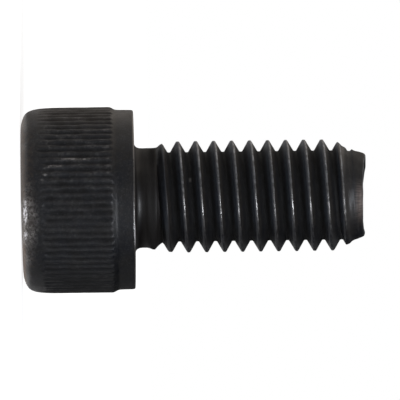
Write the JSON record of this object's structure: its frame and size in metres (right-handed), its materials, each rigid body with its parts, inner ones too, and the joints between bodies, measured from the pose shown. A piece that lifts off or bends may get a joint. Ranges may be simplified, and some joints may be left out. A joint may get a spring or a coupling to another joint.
{
  "type": "hex socket head cap screw",
  "caption": "Socket head cap screw: knurled cylindrical head with a hexagon drive socket, short plain neck and a coarse metric right-hand thread rolled almost up to it. Black-oxide steel.",
  "frame": {"origin": "centre of the annular bearing face under the head, on the screw's axis", "axes": "+Z along the shank towards the tip, so the screw stands on its head end; +X through one corner of the drive hexagon"},
  "size_m": [0.013, 0.013, 0.0239],
  "materials": {
    "black_oxide_steel": "satin"
  },
  "bodies": {
    "root": {"cap_screw": "black_oxide_steel"}
  },
  "joints": []
}
